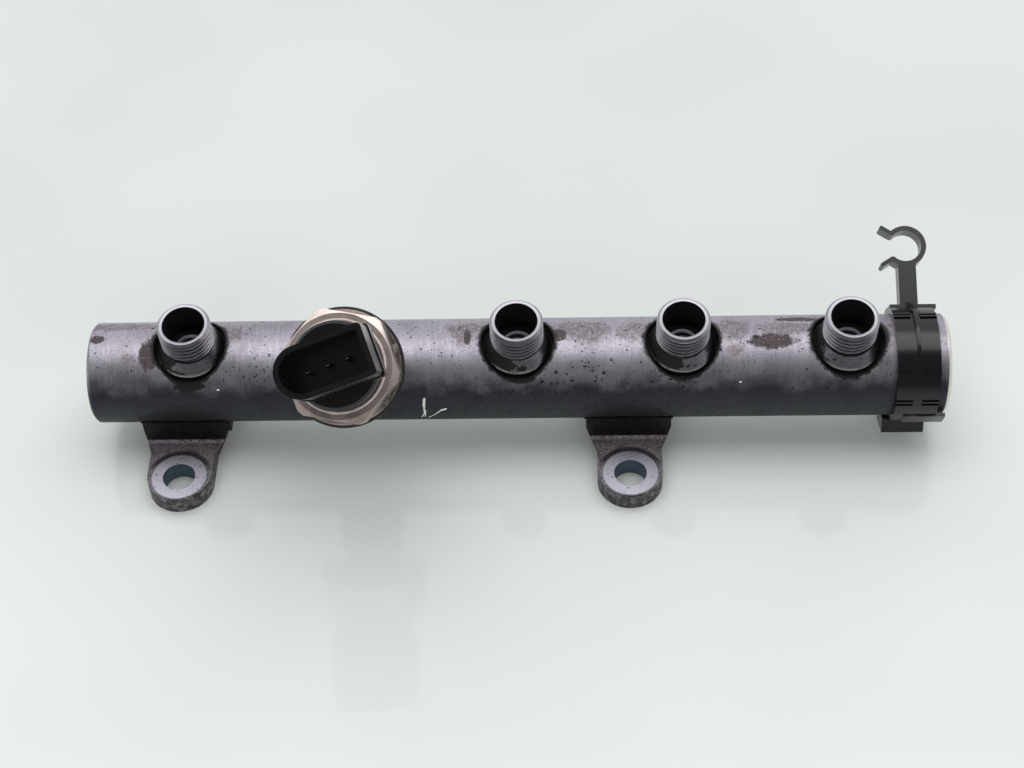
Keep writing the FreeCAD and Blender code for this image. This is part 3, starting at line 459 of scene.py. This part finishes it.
def turned_steel(colours, number, oily):
    """Turned free-cutting steel; it looks satin with fine rings, and black below from painted
    shade and oil.
    """
    finish, tree = new_finish("turned_steel_%d" % number)
    place, x, y, z = millimetres(tree)
    own = add(tree, "VectorMath", (place, (0.05 * number, 0.0, 0.0)), operation="ADD")
    off_axis = off_centre(tree, x, y)
    # Feed marks of the turning tool, 0.12 mm apart along the axis and wider on flat faces
    across = add(tree, "Math", (off_axis, 0.3), operation="MULTIPLY")
    rings = add(tree, "CombineXYZ", (across, 0.0, z))
    marks = add(tree, "TexNoise", {"Vector": rings, "Scale": 1 / 0.12, "Detail": 2.0})
    grain = add(tree, "TexNoise", {"Vector": own, "Scale": 1 / (0.4 * MM), "Detail": 5.0})
    collar = add(tree, "Math", (z, THREAD_LOW), operation="LESS_THAN")
    dull = overlap(tree, collar, add(tree, "MapRange", (grain, 0.2, 0.6)))
    # Painted shade, with some oil, lies over the left of the collar and in the undercut, and a
    # painted highlight leaves the lower edge bright
    side = add(tree, "Math", (x, -0.045, oily), operation="MULTIPLY_ADD")
    cloud = add(tree, "TexNoise", {"Vector": own, "Scale": 1 / (4.0 * MM), "Detail": 5.0})
    thick = add(tree, "Math", (cloud, side))
    collar_shade_and_oil = overlap(tree, collar, add(tree, "MapRange", (thick, 0.5, 0.56), **SMOOTH))
    # Painted shade in the undercut
    undercut = between(tree, z, THREAD_LOW - 0.8, THREAD_LOW + 0.1, 0.3)
    # Patchy painted highlight on the collar's lower edge
    edge = between(tree, z, COLLAR_EDGE - 0.12, COLLAR_EDGE + 0.3, 0.1)
    rim = overlap(tree, edge, add(tree, "MapRange", (cloud, 0.36, 0.48), **SMOOTH))
    # Painted shade in the roots of the thread
    root = overlap(tree, between(tree, z, THREAD_LOW - 0.7, STUB_TOP - 0.9, 0.1),
                   add(tree, "MapRange", (off_axis, THREAD_RADIUS - 0.2, THREAD_RADIUS - 0.6)))
    # Painted shade inside the bore
    bore = overlap(tree, add(tree, "Math", (off_axis, BORE_RADIUS + 0.04), operation="LESS_THAN"),
                   add(tree, "Math", (z, STUB_TOP - 0.15), operation="LESS_THAN"))
    ridges = add(tree, "MapRange", (marks, 0.45, 0.75))
    base = layers(tree, colours.stub, (linear("76747A"), ridges), (linear("6E6C71"), dull),
                  (linear("121012"), collar_shade_and_oil), (linear("1E1B1E"), undercut),
                  (linear("96948F"), rim), (linear("171518"), root), (linear("121112"), bore))
    dirt_and_shade = union(tree, collar_shade_and_oil, bore)
    metal = levels(tree, 1.0, (0.2, dirt_and_shade), (1.0, rim))
    rough = levels(tree, add(tree, "MapRange", (marks, 0.3, 0.7, 0.24, 0.4)), (0.6, dirt_and_shade),
                   (0.35, rim))
    bump = add(tree, "Bump", {"Strength": 0.35, "Distance": 0.01 * MM, "Height": marks})
    close_finish(tree, Base_Color=base, Metallic=metal, Roughness=rough, Normal=bump)
    return finish


def satin_nickel(colours):
    """Nickel on a milled hexagon; it looks satin and warm, with brown oil and painted shade on the
    flange below and painted shade on the hexagon's right.
    """
    finish, tree = new_finish("satin_nickel")
    place, x, y, z = millimetres(tree)
    height = along_lean(tree, y, z, SENSOR_LEAN)[1]
    tarnish = mottle(tree, place, 6.0, 0.42, 0.7)
    grain = add(tree, "TexNoise", {"Vector": place, "Scale": 1 / (0.3 * MM), "Detail": 4.0})
    scuffs = add(tree, "MapRange", (grain, 0.58, 0.8, 0.0, 0.6))
    # Painted shade with some oil covers the flange, and painted shade runs down the right of the
    # hexagon below its chamfer
    flange = add(tree, "MapRange", (height, FLANGE_TOP + 0.1, FLANGE_TOP - 0.3), **SMOOTH)
    right = add(tree, "MapRange", (x, SENSOR_X + 7.0, SENSOR_X + 11.0, 0.0, 0.85), **SMOOTH)
    below = add(tree, "MapRange", (height, HEX_TOP - 1.2, HEX_TOP - 3.0), **SMOOTH)
    shade_and_oil = union(tree, overlap(tree, flange, mottle(tree, place, 2.5, 0.1, 0.34)),
                overlap(tree, right, below, mottle(tree, place, 2.0, 0.3, 0.5)))
    base = layers(tree, colours.sensor, (linear("B3A29B"), tarnish), (linear("7C6D68"), scuffs),
                  (linear("1B1614"), shade_and_oil))
    metal = levels(tree, 1.0, (0.4, shade_and_oil))
    rough = levels(tree, add(tree, "MapRange", (grain, 0.3, 0.7, 0.34, 0.48)), (0.5, shade_and_oil))
    bump = add(tree, "Bump", {"Strength": 0.3, "Distance": 0.02 * MM, "Height": grain})
    close_finish(tree, Base_Color=base, Metallic=metal, Roughness=rough, Normal=bump)
    return finish


def oily_steel(name, code, dirt_code):
    """Plain steel under a film of oil; it looks dark and uneven, with a dull gleam."""
    finish, tree = new_finish(name)
    place = add(tree, "TexCoord", out=3)
    film = mottle(tree, place, 3.0, 0.4, 0.6)
    grain = add(tree, "TexNoise", {"Vector": place, "Scale": 1 / (0.5 * MM), "Detail": 5.0})
    base = layers(tree, linear(code), (linear(dirt_code), film))
    rough = add(tree, "MapRange", (grain, 0.3, 0.7, 0.35, 0.55))
    bump = add(tree, "Bump", {"Strength": 0.4, "Distance": 0.03 * MM, "Height": grain})
    close_finish(tree, Base_Color=base, Metallic=0.9, Roughness=rough, Normal=bump)
    return finish


def forged_steel(colours):
    """Drop-forged steel with a machined ring; it looks scaly and oily, with painted shade on its
    steep faces, and bright where machined.
    """
    finish, tree = new_finish("forged_steel_oiled")
    place, x, y, z = millimetres(tree)
    mirrored = add(tree, "Math", (x,), operation="ABSOLUTE")
    aside = add(tree, "Math", (mirrored, HOLE_X), operation="SUBTRACT")
    off_hole = off_centre(tree, aside, y)
    scale = add(tree, "TexNoise", {"Vector": place, "Scale": 1 / (0.6 * MM), "Detail": 6.0,
                                   "Roughness": 0.65})
    pitted = add(tree, "MapRange", (scale, 0.46, 0.64))
    rust = overlap(tree, mottle(tree, place, 2.4, 0.5, 0.66), 0.5)
    # Steep faces get painted shade with some oil, near black on the web and patchy on the sides;
    # the fillet and the flat of the foot stay lighter
    facing = add(tree, "NewGeometry", out=1)
    upward = add(tree, "SeparateXYZ", (facing,)).node.outputs[2]
    steep = add(tree, "MapRange", (upward, 0.62, 0.3), **SMOOTH)
    web = overlap(tree, steep, add(tree, "Math", (y, WEB_FRONT - 1.6), operation="GREATER_THAN"))
    side = overlap(tree, steep, mottle(tree, place, 1.8, 0.3, 0.6), 0.8)
    edge = add(tree, "Math", (scale, 3.0, off_hole), operation="MULTIPLY_ADD")
    moat = overlap(tree, between(tree, edge, RING_RADIUS + 0.9, RING_RADIUS + 2.3, 0.5),
                   add(tree, "MapRange", (y, 1.0, 5.0), **SMOOTH), 0.85)
    near_hole = add(tree, "Math", (off_hole, HOLE_RADIUS + 0.05), operation="LESS_THAN")
    level = add(tree, "Math", (z, LUG_TOP - 0.25), operation="GREATER_THAN")
    within = add(tree, "Math", (off_hole, RING_RADIUS - 0.05), operation="LESS_THAN")
    ring = overlap(tree, level, within)
    limits = (off_hole, RING_RADIUS - 0.5, RING_RADIUS - 0.2, 0.0, 0.7)
    outer = add(tree, "MapRange", limits, **SMOOTH)
    outline = overlap(tree, ring, outer)
    nicks = overlap(tree, ring, mottle(tree, place, 0.8, 0.6, 0.72))
    base = layers(tree, colours.lug, (linear("3E393E"), pitted), (linear("4C3A3A"), rust),
                  (linear("0C0B0C"), web), (linear("201E20"), side), (linear("1B1518"), moat),
                  (colours.ring, ring), (linear("6E6870"), nicks), (linear("4A454C"), outline),
                  (linear("5C6C7C"), near_hole))
    clean = union(tree, ring, near_hole)
    metal = levels(tree, 0.6, (1.0, clean))
    rough = levels(tree, 0.5, (0.42, clean))
    height = levels(tree, scale, (0.5, clean))
    bump = add(tree, "Bump", {"Strength": 0.7, "Distance": 0.12 * MM, "Height": height})
    close_finish(tree, Base_Color=base, Metallic=metal, Roughness=rough, Normal=bump)
    return finish


def moulded_nylon(name, code, roughness, wear):
    """Glass-filled nylon, injection moulded; it looks black with a soft, faintly grained sheen."""
    finish, tree = new_finish(name)
    place = add(tree, "TexCoord", out=3)
    # Mould grain of 0.25 mm, and dust that stays in it
    grain = add(tree, "TexNoise", {"Vector": place, "Scale": 1 / (0.25 * MM), "Detail": 3.0})
    mottled_coat = overlap(tree, mottle(tree, place, 4.0, 0.45, 0.75), wear)
    base = layers(tree, code, (linear("1E1E24"), mottled_coat))
    rough = add(tree, "MapRange", (grain, 0.3, 0.7, roughness - 0.05, roughness + 0.08))
    bump = add(tree, "Bump", {"Strength": 0.25, "Distance": 0.02 * MM, "Height": grain})
    close_finish(tree, Base_Color=base, Roughness=rough, IOR=1.5, Normal=bump)
    return finish


def weld_steel(name, code, dark_code, size):
    """Weld metal as it set; it looks rippled and grey-brown, with darker slag between."""
    finish, tree = new_finish(name)
    place = add(tree, "TexCoord", out=3)
    slag = mottle(tree, place, size, 0.4, 0.62)
    base = layers(tree, linear(code), (linear(dark_code), slag))
    bump = add(tree, "Bump", {"Strength": 0.5, "Distance": 0.05 * MM, "Height": slag})
    close_finish(tree, Base_Color=base, Metallic=0.85, Roughness=levels(tree, 0.4, (0.65, slag)),
                 Normal=bump)
    return finish


def plain_finish(name, code, spot_code, size, metallic, roughness):
    """A small hidden piece's finish: its colour with faint spots, as it left its mould or tool."""
    finish, tree = new_finish(name)
    place = add(tree, "TexCoord", out=3)
    spots = mottle(tree, place, size, 0.45, 0.7)
    base = layers(tree, linear(code), (linear(spot_code), spots))
    bump = add(tree, "Bump", {"Strength": 0.2, "Distance": 0.02 * MM, "Height": spots})
    close_finish(tree, Base_Color=base, Metallic=metallic, Roughness=roughness, Normal=bump)
    return finish


def painted_glass(colours):
    """Table of glass painted white from below; it looks pale green-white and faintly mirrors."""
    finish, tree = new_finish("back_painted_glass")
    place = add(tree, "TexCoord", out=3)
    cloud = mottle(tree, place, 160.0, 0.3, 0.7, 2.0)
    base = layers(tree, colours.floor, (linear("D8DED9"), cloud))
    close_finish(tree, Base_Color=base, Roughness=0.07, IOR=1.5)
    return finish


def soft_lamp(name, place, size, power):
    """Hang a large flat lamp that shines at the rail."""
    lamp = bpy.data.lights.new(name, "AREA")
    lamp.shape = "RECTANGLE"
    lamp.size, lamp.size_y = size
    lamp.energy = power
    holder = bpy.data.objects.new(name, lamp)
    holder.location = place
    holder.rotation_euler = (RAIL_MIDDLE - holder.location).to_track_quat("-Z", "Y").to_euler()
    bpy.context.scene.collection.objects.link(holder)
    return holder


def paint(node, finish):
    """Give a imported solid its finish."""
    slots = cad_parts[node].data.materials
    slots.clear()
    slots.append(finish)


def place_on_axis(x, lean):
    """Place on the tube's axis whose Z points along a stub that leans towards -Y."""
    turn = Matrix.Rotation(math.radians(lean), 4, "X")
    return Matrix.Translation(Vector((x, AXIS_Y, AXIS_Z)) * MM) @ turn


def ring_mesh(name, rings):
    """Join closed rings of points, in millimetres, into a skin whose last ring meets the first."""
    sides = len(rings[0])
    mesh = bpy.data.meshes.new(name)
    points = [tuple(Vector(point) * MM) for ring in rings for point in ring]
    faces = []
    for row in range(len(rings)):
        after = (row + 1) % len(rings)
        for side in range(sides):
            beside = (side + 1) % sides
            faces.append((row * sides + side, row * sides + beside,
                          after * sides + beside, after * sides + side))
    mesh.from_pydata(points, [], faces)
    work = bmesh.new()
    work.from_mesh(mesh)
    bmesh.ops.recalc_face_normals(work, faces=work.faces)
    work.to_mesh(mesh)
    work.free()
    mesh.shade_smooth()
    mesh.set_sharp_from_angle(angle=math.radians(SHARP_ANGLE))
    return mesh


def new_piece(name, mesh, finish, place=Matrix.Identity(4)):
    """Put a mesh in the scene as a piece of the rail."""
    mesh.materials.append(finish)
    piece = bpy.data.objects.new(name, mesh)
    bpy.context.scene.collection.objects.link(piece)
    piece.matrix_world = place
    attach(piece, BODY)
    return piece


def rounded(outline, radius):
    """Round the corners of an open outline of (radius, height) points, all but its two ends."""
    points = [Vector(outline[0])]
    for before, corner, after in zip(outline, outline[1:], outline[2:]):
        corner = Vector(corner)
        ends = []
        for other in (Vector(before), Vector(after)):
            reach = min(radius, (other - corner).length * 0.4)
            ends.append(corner + (other - corner).normalized() * reach)
        middle = (ends[0] + ends[1] + corner * 2) / 4
        points += [ends[0], middle, ends[1]]
    points.append(Vector(outline[-1]))
    return points


def thread_radius(height, turn, pitch, depth):
    """Radius of the threaded barrel at a height and a part of a turn, with sloping flanks."""
    top = STUB_TOP - THREAD_HIGH
    bevel = THREAD_RADIUS - max(0.0, height - THREAD_HIGH)
    phase = (height / pitch - turn) % 1.0
    groove = min(1.0, max(0.0, min(phase - CREST_PART, 1.0 - phase) / FLANK_PART))
    run_in = min(1.0, FIRST_TURN_DEPTH + (height - THREAD_LOW) / pitch)
    run_out = min(1.0, max(0.0, (THREAD_HIGH + 0.1 - height) / (top * LAST_TURN_FADE)))
    return min(bevel, THREAD_RADIUS - depth * groove * run_in * run_out)


def stub_mesh(name, sizes, start):
    """Turned stub: foot, conical collar, undercut, thread, bevelled rim and open bore."""
    pitch, depth = sizes.thread_pitch / MM, sizes.thread_depth / MM
    sides = sizes.stub_sides
    rows = max(8, round((STUB_TOP - THREAD_LOW) / (sizes.thread_row / MM)))
    turns = [side / sides for side in range(sides)]
    circle = [(math.cos(math.tau * turn), math.sin(math.tau * turn)) for turn in turns]
    rings = [[(c * r, s * r, z) for c, s in circle] for r, z in rounded(STUB_FOOT, FOOT_ROUNDING)]
    for row in range(rows):
        z = THREAD_LOW + (STUB_TOP - THREAD_LOW) * row / rows
        radii = [thread_radius(z, turn + start, pitch, depth) for turn in turns]
        rings.append([(c * r, s * r, z) for (c, s), r in zip(circle, radii)])
    rings += [[(c * r, s * r, z) for c, s in circle]
              for r, z in rounded(STUB_MOUTH, MOUTH_ROUNDING)]
    return ring_mesh(name, rings)


def bead_mesh(name, line, radius, ripple):
    """Weld bead along a closed line of points in millimetres, rippled along its length."""
    count = len(line)
    rings = []
    walked = 0.0
    for index, point in enumerate(line):
        ahead, behind = line[(index + 1) % count], line[index - 1]
        along = (ahead - behind).normalized()
        walked += (ahead - point).length
        outward = Vector((0.0, point.y - AXIS_Y, point.z - AXIS_Z)).normalized()
        aside = along.cross(outward).normalized()
        outward = aside.cross(along)
        swell = abs(math.sin(math.pi * walked / ripple)) * BEAD_RIPPLE
        wave = math.sin(walked * BEAD_WAVES_PER_MM) * BEAD_WAVE
        reach = radius * (BEAD_THICKNESS + (swell + wave))
        ring = []
        for step in range(BEAD_SIDES):
            angle = math.tau * step / BEAD_SIDES
            ring.append(point + (aside * math.cos(angle) + outward * math.sin(angle)) * reach)
        rings.append(ring)
    return ring_mesh(name, rings)


def boss_line(steps):
    """Closed line where the sensor's boss enters the tube."""
    place = place_on_axis(SENSOR_X, SENSOR_LEAN)
    reach = BOSS_RADIUS + BEAD_OFF_BOSS
    line = []
    for step in range(steps):
        angle = math.tau * step / steps
        x, across = reach * math.cos(angle), reach * math.sin(angle)
        height = math.sqrt((TUBE_RADIUS + BEAD_OFF_TUBE) ** 2 - across ** 2)
        line.append(place @ (Vector((x, across, height)) * MM) / MM)
    return line


def lug_line(middle, spacing):
    """Closed line where a lug's web meets the tube from below."""
    left, right = middle - WEB_HALF, middle + WEB_HALF
    start = math.atan2(WEB_TOP - AXIS_Z, WEB_FRONT - AXIS_Y) % math.tau
    end = -math.acos((WEB_BACK - AXIS_Y) / TUBE_RADIUS) % math.tau
    corners = [(left, start), (right, start), (right, end), (left, end)]
    line = []
    for (x, angle), (next_x, next_angle) in zip(corners, corners[1:] + corners[:1]):
        length = abs(next_x - x) + abs(next_angle - angle) * TUBE_RADIUS
        steps = max(2, round(length / spacing))
        for step in range(steps):
            part = step / steps
            turn = angle + (next_angle - angle) * part
            line.append(Vector((x + (next_x - x) * part,
                                AXIS_Y + TUBE_RADIUS * math.cos(turn),
                                AXIS_Z + TUBE_RADIUS * math.sin(turn))))
    # Two passes round the corners off
    for _ in range(2):
        after = line[1:] + line[:1]
        line = [(line[i - 1] + point * 2 + after[i]) / 4 for i, point in enumerate(line)]
    return line


# Pieces inside the sensor, as node, finish, colour, spots, their size, metallic and roughness
HIDDEN_FINISHES = (
    ("sensor_seal_ring", "soft_iron", "7C7A7C", "5A5658", 0.8, 1.0, 0.4),
    ("sensor_measuring_cell", "stainless_steel", "B9B6B4", "9C9896", 0.5, 1.0, 0.25),
    ("sensor_board_carrier", "moulded_pbt", "C9C6BC", "B4B0A6", 1.0, 0.0, 0.5),
    ("sensor_circuit_board", "glass_epoxy_board", "1F5A3A", "2E7048", 1.5, 0.0, 0.35),
    ("sensor_rubber_ring", "nitrile_rubber", "1B1B1C", "2A2A2B", 0.6, 0.0, 0.7))


class RAIL_OT_tube(bpy.types.Operator):
    """Finish the tube and its end plug with dull zinc, stains and machined ends"""
    bl_idname = "rail.tube"
    bl_label = "Tube and end plug"

    def execute(self, context):
        paint("rail_tube", dull_zinc_steel(context.scene.rail_colours))
        paint("end_plug", plain_finish("phosphated_steel", "55535A", "2C2A2C", 1.2, 0.8, 0.5))
        paint("end_plug_seal", plain_finish("soft_copper", "A0664A", "6B4A3C", 0.8, 1.0, 0.35))
        return {"FINISHED"}


class RAIL_OT_stubs(bpy.types.Operator):
    """Build the four threaded stubs in turned steel in place of the plain ones"""
    bl_idname = "rail.stubs"
    bl_label = "Threaded stubs"

    def execute(self, context):
        stubs = zip(STUB_X, THREAD_STARTS, COLLAR_SHADE_AND_OIL)
        for number, (x, start, oily) in enumerate(stubs, start=1):
            name = "threaded_stub_%d" % number
            mesh = stub_mesh(name, context.scene.rail_sizes, start)
            finish = turned_steel(context.scene.rail_colours, number, oily)
            piece = new_piece(name, mesh, finish, place_on_axis(x, STUB_LEAN))
            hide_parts("port_stub_%d" % number)
        return {"FINISHED"}


class RAIL_OT_sensor(bpy.types.Operator):
    """Finish the pressure sensor and its boss, and add the boss's weld bead"""
    bl_idname = "rail.sensor"
    bl_label = "Pressure sensor"

    def execute(self, context):
        colours = context.scene.rail_colours
        sizes = context.scene.rail_sizes
        paint("sensor_body", satin_nickel(colours))
        paint("sensor_boss", oily_steel("turned_steel_oily", "8A868C", "2A2527"))
        paint("sensor_connector",
              moulded_nylon("moulded_nylon_connector", colours.plastic, 0.22, 0.2))
        for node, *looks in HIDDEN_FINISHES:
            paint(node, plain_finish(*looks))
        for number in (1, 2, 3):
            paint("sensor_pin_%d" % number,
                  plain_finish("tinned_brass_%d" % number, "B5AF9C", "8F8770", 0.4, 1.0, 0.35))
        bead = bead_mesh("boss_weld", boss_line(BOSS_BEAD_STEPS), sizes.weld_radius / MM,
                         sizes.weld_ripple / MM)
        weld = weld_steel("set_weld_steel", "8D8782", "3A3230", 0.8)
        new_piece("boss_weld", bead, weld)
        return {"FINISHED"}


class RAIL_OT_lugs(bpy.types.Operator):
    """Finish the two forged lugs and add the braze lines that hold them"""
    bl_idname = "rail.lugs"
    bl_label = "Mounting lugs"

    def execute(self, context):
        finish = forged_steel(context.scene.rail_colours)
        braze = weld_steel("copper_braze_sooty", "1C1817", "0C0B0B", 0.9)
        radius = context.scene.rail_sizes.braze_radius / MM
        for side, name, offset in zip((-1, 1), ("left", "right"), WEB_OFFSETS):
            paint("mounting_lug_" + name, finish)
            line = lug_line(HOLE_X * side + offset, BRAZE_SPACING)
            mesh = bead_mesh("lug_braze_" + name, line, radius, BRAZE_RIPPLE)
            new_piece("lug_braze_" + name, mesh, braze)
        return {"FINISHED"}


class RAIL_OT_clip(bpy.types.Operator):
    """Finish the moulded pipe clip in black nylon"""
    bl_idname = "rail.clip"
    bl_label = "Pipe clip"

    def execute(self, context):
        colours = context.scene.rail_colours
        paint("pipe_clip", moulded_nylon("moulded_nylon_clip", colours.plastic, 0.2, 0.2))
        return {"FINISHED"}


class RAIL_OT_stage(bpy.types.Operator):
    """Set up the pale table, the soft lamps and the photograph's camera"""
    bl_idname = "rail.stage"
    bl_label = "Stage"

    def execute(self, context):
        scene = context.scene
        settings = scene.rail_stage
        corners = [(x * TABLE_HALF, y * TABLE_HALF, 0)
                   for x, y in ((-1, -1), (1, -1), (1, 1), (-1, 1))]
        mesh = bpy.data.meshes.new("table")
        mesh.from_pydata(corners, [], [(0, 1, 2, 3)])
        mesh.materials.append(painted_glass(scene.rail_colours))
        table = bpy.data.objects.new("table", mesh)
        table.location.z = cad_box[0].z - TABLE_GAP * MM
        scene.collection.objects.link(table)
        soft_lamp("overhead_lamp", OVERHEAD_PLACE, OVERHEAD_SIZE, settings.key_power)
        # The front lamp leaves no highlight, since the photograph shows none of it on the metal
        front = soft_lamp("front_lamp", FRONT_PLACE, FRONT_SIZE, settings.fill_power)
        front.visible_glossy = False
        world = bpy.data.worlds.new("room")
        scene.world = world
        world.use_nodes = True
        tree = world.node_tree
        tree.nodes.clear()
        # The room is dark on the camera's side, and the camera sees the table's colour all round
        direction = add(tree, "TexCoord", out=0)
        towards = add(tree, "VectorMath", (direction, CAMERA_SIDE), out=1, operation="DOT_PRODUCT")
        limits = (towards, SHADE_START, SHADE_FULL, settings.room, settings.shade)
        strength = add(tree, "MapRange", limits, **SMOOTH)
        light = add(tree, "Background", (linear("FBFBFF"), strength))
        backdrop = add(tree, "Background", (scene.rail_colours.floor, 1.0))
        seen = add(tree, "LightPath")
        mixed = add(tree, "MixShader", (seen, light, backdrop))
        add(tree, "OutputWorld", {"Surface": mixed})
        camera = bpy.data.cameras.new("photo_camera")
        camera.sensor_width = 36.0
        camera.lens = CAMERA_LENS
        camera.clip_start, camera.clip_end = 0.01, 20.0
        viewer = bpy.data.objects.new("photo_camera", camera)
        axes = Matrix(CAMERA_AXES).transposed().to_4x4()
        viewer.matrix_world = Matrix.Translation(CAMERA_PLACE) @ axes
        scene.collection.objects.link(viewer)
        scene.camera = viewer
        scene.view_settings.view_transform = "Standard"
        return {"FINISHED"}


STEPS = (RAIL_OT_stage, RAIL_OT_tube, RAIL_OT_stubs, RAIL_OT_sensor, RAIL_OT_lugs, RAIL_OT_clip)


class RAIL_PT_panel(bpy.types.Panel):
    """Lists the steps that dress the rail, with their sizes and colours"""
    bl_idname = "RAIL_PT_panel"
    bl_label = "Fuel Rail"
    bl_space_type = "VIEW_3D"
    bl_region_type = "UI"
    bl_category = "Fuel Rail"

    def draw(self, context):
        layout = self.layout
        for step in STEPS:
            layout.operator(step.bl_idname)
        for holder in GROUPS:
            group = getattr(context.scene, holder)
            for name in group.__annotations__:
                layout.prop(group, name)


GROUPS = {"rail_sizes": RailSizes, "rail_colours": RailColours, "rail_stage": StageSettings}


def register():
    for name, group in GROUPS.items():
        bpy.utils.register_class(group)
        setattr(bpy.types.Scene, name, PointerProperty(type=group))
    for step in STEPS:
        bpy.utils.register_class(step)
    bpy.utils.register_class(RAIL_PT_panel)


def unregister():
    bpy.utils.unregister_class(RAIL_PT_panel)
    for step in reversed(STEPS):
        bpy.utils.unregister_class(step)
    for name, group in reversed(GROUPS.items()):
        delattr(bpy.types.Scene, name)
        bpy.utils.unregister_class(group)


def main():
    register()
    bpy.ops.rail.stage()
    bpy.ops.rail.tube()
    bpy.ops.rail.stubs()
    bpy.ops.rail.sensor()
    bpy.ops.rail.lugs()
    bpy.ops.rail.clip()


if __name__ == "__main__":
    main()
